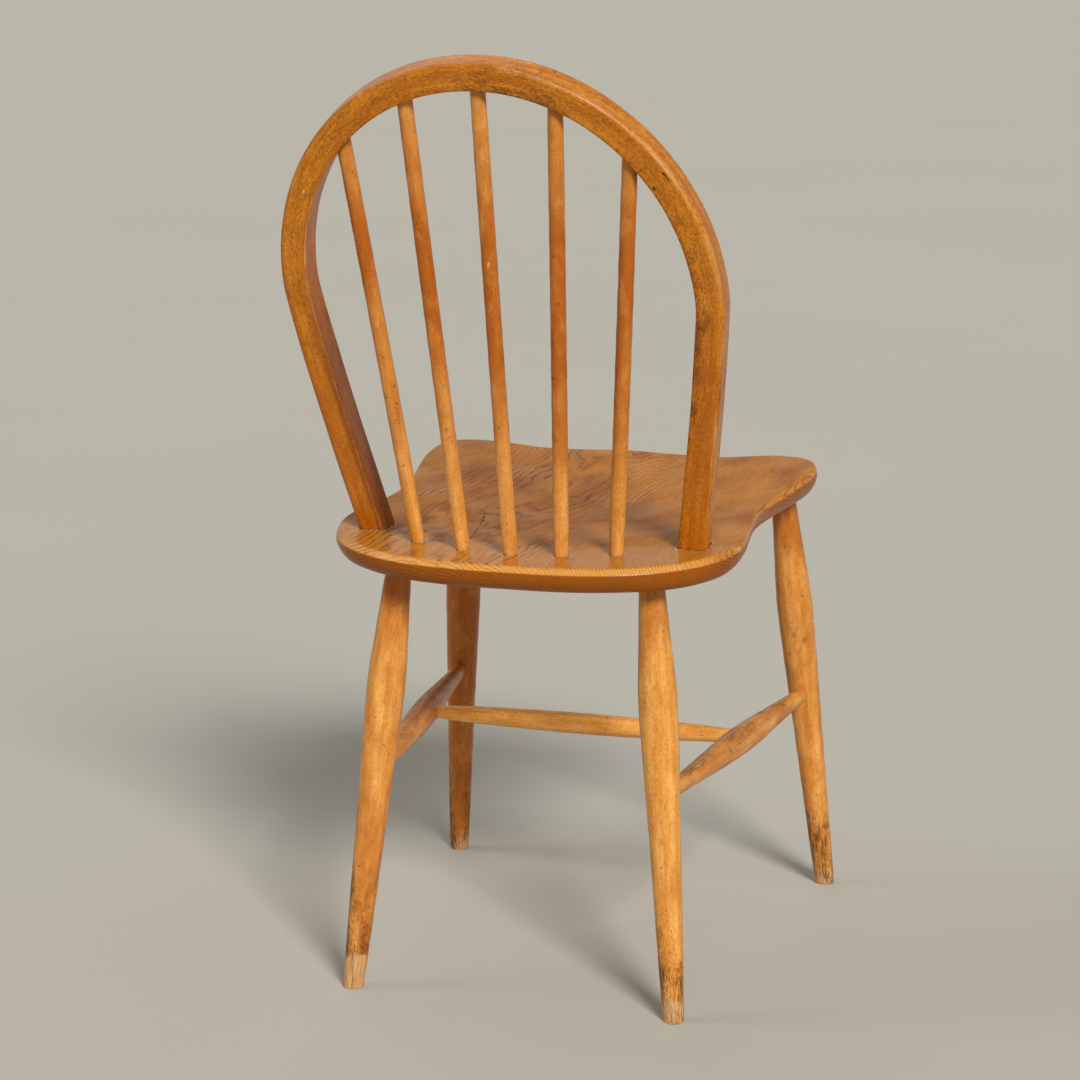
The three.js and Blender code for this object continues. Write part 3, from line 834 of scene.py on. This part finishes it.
def build_hoop():
    line, section = hoop_line(), hoop_section()
    around = len(section)
    gone = lengths_along(line)
    along = unit(np.gradient(line, axis=0))
    out = np.column_stack([along[:, 1], -along[:, 0]])
    rings, places = [], []
    for place, (x, height) in enumerate(line):
        down = min(max((tenon_start - height) / (tenon_start - tenon_end), 0), 1)
        size = 1 - (1 - tenon_share) * down
        up = max(height, 0) / (hoop_side + hoop_arch)
        thick = size * (1 - (1 - hoop_top_share) * up ** 2)
        across = section[:, 0] * thick
        back = section[:, 1] * size
        rings.append(hoop_plane_point(x + out[place, 0] * across, height + out[place, 1] * across, back))
        places.append(np.column_stack([across, back, np.full(around, gone[place])]))
    # The tenons end on the seat's underside
    for end, inner in ((0, 6), (-1, -7)):
        ring = rings[end]
        axis = unit(ring.mean(axis=0) - rings[inner].mean(axis=0))
        above = ring[:, 2] - (seat_underside(ring[:, 1]) - 0.45)
        rings[end] = ring - axis * (above / (axis[2] + seat_slope * axis[1]))[:, None]
    points, faces = ring_body(rings)
    wood = with_centres(places)
    outward, backward, from_top = wood[:, 0], wood[:, 1], wood[:, 2] - gone[-1] / 2
    rear = ramp(6, 11, backward)
    inner = ramp(-6, -11, outward)
    outer = ramp(6, 11, outward)
    grime = 0.66 * hill(from_top, 10, 62) * ramp(9, -4, outward) * rear
    grime += 0.36 * hill(from_top, 60, 60) * (rear + outer)
    grime += 0.55 * hill(from_top, 330, 150) * rear * ramp(6, -6, outward)
    grime += 0.3 * hill(from_top, 330, 170) * outer
    # The inner face is made darker all along; the ends next to the seat are darker too
    grime += 0.25 * inner + 0.2 * ramp(0.86, 0.95, np.abs(from_top) / (gone[-1] / 2))
    grime += 0.22 * waves(wood, 60, 41, 0.4) - 0.05

    gouge, nick, bruise = (bump_at(points, np.array(place) - to_frame, reach)
                           for place, reach in (hoop_gouge, hoop_nick, hoop_chip))
    scuffs = ramp(0.35, 0.8, waves(wood, 14, 46, 0.3)) * hill(from_top, 0, 170)
    corner = hill(outward, 11.2, 2) * hill(backward, 11.2, 2.4)
    chip = 0.6 * bruise ** 2 + 0.4 * corner * scuffs * ramp(0, 0.5, waves(wood, 4, 48, 0.5))
    left_side = ramp(-110, -220, from_top)
    # A pale line along the inner arris of the left upright: a painted highlight of the arris, laid on as
    # bare wood
    arris_highlight_line = hill(outward, -11.2, 0.9) * ramp(9, 11.5, backward) * left_side
    # A pale band along the outer rear corner on the right: a painted highlight of the key light, with
    # some wear
    worn_and_highlit_edge = hill(outward, 9.8, 3.2) * hill(backward, 10.6, 3.0)
    worn_and_highlit_edge *= ramp(-10, 60, from_top) * ramp(520, 430, from_top)
    bare = 0.6 * worn_and_highlit_edge * (0.9 + 0.35 * waves(wood, 30, 49, 0.3))
    bare += 0.62 * arris_highlight_line * (0.95 + 0.1 * waves(wood, 24, 43))
    lower = ramp(190, 420, np.abs(from_top))
    # Redder on the lower hoop and on the left upright's inner face
    tan = 0.42 * lower + inner * left_side * 0.6 + 0.12 * waves(wood, 70, 47, 0.3)
    # The left upright's inner face is made darker low down
    dark = 0.55 * inner * ramp(-250, -400, from_top)
    sink = 0.8 * gouge * rear + 0.9 * nick + 0.12 * waves(wood, 26, 44, 0.3) + 0.18
    push = np.tile(unit(section), (len(rings), 1))
    side = np.repeat(out, around, axis=0) * push[:, :1]
    lean, upright = math.sin(hoop_rake), math.cos(hoop_rake)
    moved = points.copy()
    moved[:-2] -= sink[:-2, None] * np.column_stack([
        side[:, 0], push[:, 1] * upright + side[:, 1] * lean, side[:, 1] * upright - push[:, 1] * lean])
    ring = np.hypot(outward + 46, backward - 30) / 2.6 + 0.6 * waves(wood, 60, 45, 0.1)
    values = {
        "wood": wood, "ring": ring, "grime": grime, "bare": np.clip(bare, 0, 1),
        "dark": np.clip(dark, 0, 1), "chip": np.clip(chip, 0, 1), "tan": np.clip(tan, 0, 0.9),
    }

    def on_wood(place_mm):
        """The wood's own coordinates at the surface point nearest to a place."""
        away = np.linalg.norm(points - (np.array(place_mm) - to_frame), axis=1)
        return wood[np.argmin(away)].tolist()

    scratches, specks = ([(on_wood(place), stretch, reach) for place, stretch, reach in marks]
                         for marks in (hoop_scratches, hoop_specks))
    beech = beech_material("beech_hoop", hoop_tones, 0.3, 130, 0.85, scratches, specks)
    mesh_object("bent_hoop", moved, faces, values, beech, "hoop")


def build_wedge(label, side):
    """A driven wedge: only its butt shows, in the tenon's end under the seat."""
    butt_height = -(seat_thickness / math.cos(hoop_rake)) + 1.5
    rings, wood = [], []
    for rise, keep in wedge_steps:
        share = max(rise, 0) / wedge_length
        half = (wedge_butt + (wedge_tip - wedge_butt) * share) / 2 * keep
        reach = wedge_width / 2 * (0.5 + 0.5 * keep)
        height = butt_height + rise
        corners = [(-reach, -half), (reach, -half), (reach, half), (-reach, half)]
        ring = []
        for here, there in zip(corners, corners[1:] + corners[:1]):
            ring += joined(here, there, np.linspace(0, 1, 6, endpoint=False))
        ring = np.array(ring)
        foot_x = side * (hoop_foot_half + hoop_foot_slope * height)
        rings.append(hoop_plane_point(foot_x + ring[:, 0], height, ring[:, 1]))
        wood.append(np.column_stack([ring[:, 1], np.full(len(ring), height), ring[:, 0]]))
    points, faces = ring_body(rings)
    wood = with_centres(wood)
    values = {"wood": wood, "ring": wood[:, 0] / 2, "grime": np.full(len(points), 0.3)}
    mesh_object(
        f"driven_wedge_{label}", points, faces, values, wedge_wood, f"hoop_wedge_{label}")


# Turned pieces


def turned_rings(start, end, profile, around, spacing, seed, start_past=0.0, end_past=0.0, floor=False):
    """Rings of a turned piece from start to end, the wood's coordinates at them, and where its grain
    lies: its shift in the noise and its side of the tree's heart."""
    local = np.random.default_rng(seed)
    axis = end - start
    length = np.linalg.norm(axis)
    axis /= length
    side = unit(np.cross(axis, [0, 0, 1.0]))
    other = np.cross(axis, side)
    curve = smooth_curve(np.array(profile, float) * [length, 1], 400)
    count = int((length + start_past + end_past) / spacing) + 1
    angles = np.linspace(0, 2 * math.pi, around, endpoint=False)
    oval = local.uniform(0.004, 0.012)
    oval_turn = local.uniform(0, math.pi)
    bow = local.uniform(-0.5, 0.5, 2)
    shift = local.uniform(-400, 400, 3)
    heart = local.uniform(18, 40) * np.array([math.cos(oval_turn * 2), math.sin(oval_turn * 2)])
    rings, wood = [], []
    for place in np.linspace(-start_past, length + end_past, count):
        inside = min(max(place, 0), length)
        radius = np.interp(inside, curve[:, 0], curve[:, 1])
        ripple = 0.05 * math.sin(place * 0.9 + shift[0]) + 0.09 * math.sin(place * 0.21 + shift[1])
        shape = (radius + ripple) * (1 + oval * np.cos(2 * (angles - oval_turn)))
        sway = bow * math.sin(math.pi * inside / length)
        across, upward = shape * np.cos(angles), shape * np.sin(angles)
        middle = start + axis * place + side * sway[0] + other * sway[1]
        ring = middle + np.outer(across, side) + np.outer(upward, other)
        if floor and place >= length * 0.6:
            below = ring[:, 2] * (inside / length) ** 10
            ring = ring - axis * (below / axis[2])[:, None]
        rings.append(ring)
        wood.append(np.column_stack([across, upward, np.full(around, place)]))
    return rings, wood, (shift, heart)


def build_turned(node, rings, wood, grain, values):
    """The piece of the rings with its marks. values gives the rest of what its material reads."""
    shift, heart = grain
    points, faces = ring_body(rings)
    wood = with_centres(wood)
    centres = [np.repeat(ring.mean(axis=0)[None], len(ring), axis=0) for ring in rings]
    spokes = unit(points - np.vstack(centres + [points[-2:]]), 1e-9)
    dark, chip, sink = np.zeros((3, len(points)))
    for centre, reach, depth, shade in turned_marks.get(node, []):
        mark = bump_at(points, np.array(centre) - to_frame, reach)
        sink += depth * mark
        dark += max(shade, 0) * mark ** 1.5
        chip += max(-shade, 0) * mark ** 1.5
    ring = np.hypot(wood[:, 0] + heart[0], wood[:, 1] + heart[1]) / 2.2
    ring += 0.5 * waves(wood * [1, 1, 0.12] + shift, 40, 3)
    attributes = values(wood, points)
    attributes.update(
        {"wood": wood + shift, "ring": ring, "dark": np.clip(dark, 0, 1), "chip": np.clip(chip, 0, 1)})
    moved = points - spokes * sink[:, None]
    mesh_object(f"{node}_turned", moved, faces, attributes, beech_turned, node)


def build_spindle(number, label, foot, hoop):
    bottom, top = spindle_ends(foot, hoop)
    length = np.linalg.norm(top - bottom)
    profile = [
        (0, spindle_foot_radius), (24 / length, spindle_foot_radius + 0.45),
        (60 / length, spindle_radius), (0.5, spindle_radius), (0.85, spindle_radius - 0.1),
        (1, spindle_radius - 0.35),
    ]
    rings, wood, grain = turned_rings(
        bottom, top, profile, 40, 2.2, 100 + number, start_past=spindle_depth - 2, end_past=-1)

    def values(places, points):
        up = places[:, 2] / length
        soft = waves(places, 30, 50 + number, 0.25)
        grime = 0.3 * hill(up, 0.55, 0.16) * soft + 0.12 * soft
        grime += 0.45 * ramp(length - 22, length - 4, places[:, 2])
        grime += 0.3 * ramp(8, 0, places[:, 2])
        middle, reach, weight = spindle_tan[label]
        tan = (0.45 + weight * hill(up, middle, reach) * (0.9 + 0.3 * soft)) * ramp(0.04, 0.3, up)
        return {"grime": grime, "tan": np.clip(tan, 0, 0.95)}

    build_turned(f"spindle_{label}", rings, wood, grain, values)


def leg_ends(side, front):
    top_x, top_y = front_leg_top if front else rear_leg_top
    foot_x, foot_y = front_leg_foot if front else rear_leg_foot
    return np.array([side * top_x, top_y, seat_underside(top_y)]), np.array([side * foot_x, foot_y, 0.0])


def on_leg(ends, height):
    """The leg's axis at a height, or at each of many."""
    top, foot = ends
    return top + np.multiply.outer((top[2] - height) / top[2], foot - top)


def build_leg(number, label, side, front):
    top, foot = leg_ends(side, front)
    rings, wood, grain = turned_rings(
        top, foot, leg_profile, 56, 2.0, 200 + number, start_past=14, floor=True)
    last, last_wood = rings[-1], wood[-1]
    axis = unit(foot - top)
    # The foot's end: a ragged arris, then rings across its flat face
    ragged = np.clip(0.5 + 0.5 * waves(last, 7, 61 + number), 0, 1)
    rings[-1] = last - axis * (0.5 + 1.6 * ragged ** 3)[:, None]
    for keep in (0.93, 0.8, 0.55, 0.25):
        rings.append(last.mean(axis=0) + (last - last.mean(axis=0)) * keep)
        wood.append(last_wood * [keep, keep, 1])
    (edge, blur, unevenness), (low, high, weight), (tan_above, tan_below) = leg_wear[label]

    def values(places, points):
        up = points[:, 2]
        left_side = np.clip((points[:, 0] - on_leg((top, foot), up)[:, 0]) / 9, 0, 1)
        soft = waves(points, 16, 70 + number, 0.35)
        bare = ramp(edge + blur, edge - blur, up + unevenness * soft)
        stain = weight * ramp(high + 25, high, up) * ramp(low - 8, low, up)
        stain *= 0.75 + 0.25 * soft
        stain += 0.3 * left_side * ramp(150, 90, up) * ramp(20, 40, up)
        grime = 0.5 * ramp(130, 30, up) + 0.16 * waves(places, 45, 80 + number, 0.5)
        grime += 0.3 * left_side * ramp(190, 90, up)
        tan = tan_above + (tan_below - tan_above) * ramp(230, 110, up) + 0.18 * soft
        # Darker and redder just under the seat: painted shade of the seat over the leg's own reddening
        tan += 0.5 * ramp(90, 25, top[2] - up)
        return {"grime": grime, "bare": bare, "stain": stain, "tan": np.clip(tan, 0, 0.85)}

    build_turned(f"leg_{label}", rings, wood, grain, values)


def build_stretcher(number, node, start, end, profile):
    rings, wood, grain = turned_rings(start, end, profile, 48, 2.0, 300 + number)

    def values(places, points):
        middle = np.interp(places[:, 2], [0, places[:, 2].max()], [start[2], end[2]])
        top_side = ramp(0.15, 0.9, (points[:, 2] - middle) / 10)
        soft = waves(places, 30, 90 + number, 0.3)
        if node == "cross_stretcher":
            return {"grime": 0.4 * top_side + 0.2 * soft, "bare": 0.3 * top_side, "tan": 0.15 * soft}
        return {"grime": 0.3 * soft + 0.5 * top_side + 0.1, "bare": top_side * (0.2 + 0.3 * soft),
                "tan": side_stretcher_tan_and_shade[node] + 0.3 * soft}

    build_turned(node, rings, wood, grain, values)


build_seat()
build_hoop()
for side, label in ((1, "left"), (-1, "right")):
    build_wedge(label, side)
for number, (label, foot, hoop) in enumerate(spindles):
    build_spindle(number, label, foot, hoop)
for number, label in enumerate(leg_wear):
    end, side = label.split("_")
    build_leg(number, label, 1 if side == "left" else -1, end == "front")
cross_ends = []
for number, (side, label) in enumerate(((1, "left"), (-1, "right"))):
    rear_end = on_leg(leg_ends(side, False), rear_joint)
    front_end = on_leg(leg_ends(side, True), front_joint)
    cross_ends.append(rear_end + (front_end - rear_end) * cross_share)
    build_stretcher(number, f"side_stretcher_{label}", rear_end, front_end, side_profile)
build_stretcher(2, "cross_stretcher", *cross_ends, cross_profile)


# Floor, light and camera


def build_floor():
    n = Nodes("pale_floor", on_wood=False)
    n.shade("Base Color", n.mix(n.noise(0.8, 0.8, 3), *floor_tones))
    n.shade("Roughness", floor_roughness)
    n.shade("Specular IOR Level", floor_specular)
    mesh = bpy.data.meshes.new("floor")
    reach, steps = 60.0, 48
    points = [(reach * math.cos(turn), reach * math.sin(turn), 0)
              for turn in np.linspace(0, 2 * math.pi, steps, endpoint=False)]
    mesh.from_pydata(points, [], [tuple(range(steps))])
    mesh.materials.append(n.material)
    add_object("floor", mesh)


def sun(name, towards_light, strength, width, colour):
    """A distant lamp, width degrees across, in the direction towards_light from the chair."""
    light = bpy.data.lights.new(name, "SUN")
    light.energy = strength
    light.angle = math.radians(width)
    light.color = colour
    lamp = add_object(name, light)
    back = Vector(towards_light).normalized()
    lamp.location = Vector((0, 0, 0.4)) + back * 3.0
    lamp.rotation_euler = (-back).to_track_quat("-Z", "Y").to_euler()


def build_light():
    for lamp in lamps:
        sun(*lamp)
    world = bpy.data.worlds.new("studio")
    bpy.context.scene.world = world
    world.use_nodes = True
    nodes, link = world.node_tree.nodes, world.node_tree.links.new
    light = nodes["Background"]
    light.inputs["Color"].default_value = (*sky_colour, 1)
    light.inputs["Strength"].default_value = sky_strength
    seen = nodes.new("ShaderNodeBackground")
    seen.inputs["Color"].default_value = srgb(*backdrop_tone)
    rays = nodes.new("ShaderNodeLightPath")
    shown = rays.outputs["Is Camera Ray"]
    for label in ("Is Glossy Ray", "Is Transmission Ray"):
        either = nodes.new("ShaderNodeMath")
        either.operation = "MAXIMUM"
        link(shown, either.inputs[0])
        link(rays.outputs[label], either.inputs[1])
        shown = either.outputs[0]
    mix = nodes.new("ShaderNodeMixShader")
    link(shown, mix.inputs[0])
    link(light.outputs[0], mix.inputs[1])
    link(seen.outputs[0], mix.inputs[2])
    link(mix.outputs[0], nodes["World Output"].inputs["Surface"])


def build_camera():
    lens = bpy.data.cameras.new("camera")
    lens.lens = camera_lens
    lens.sensor_width = 36
    lens.clip_end = 200
    camera = add_object("camera", lens)
    camera.location = camera_place
    camera.rotation_euler = camera_forward.to_track_quat("-Z", "Y").to_euler()
    bpy.context.scene.camera = camera


build_floor()
build_light()
build_camera()
bpy.context.scene.view_settings.view_transform = "Standard"
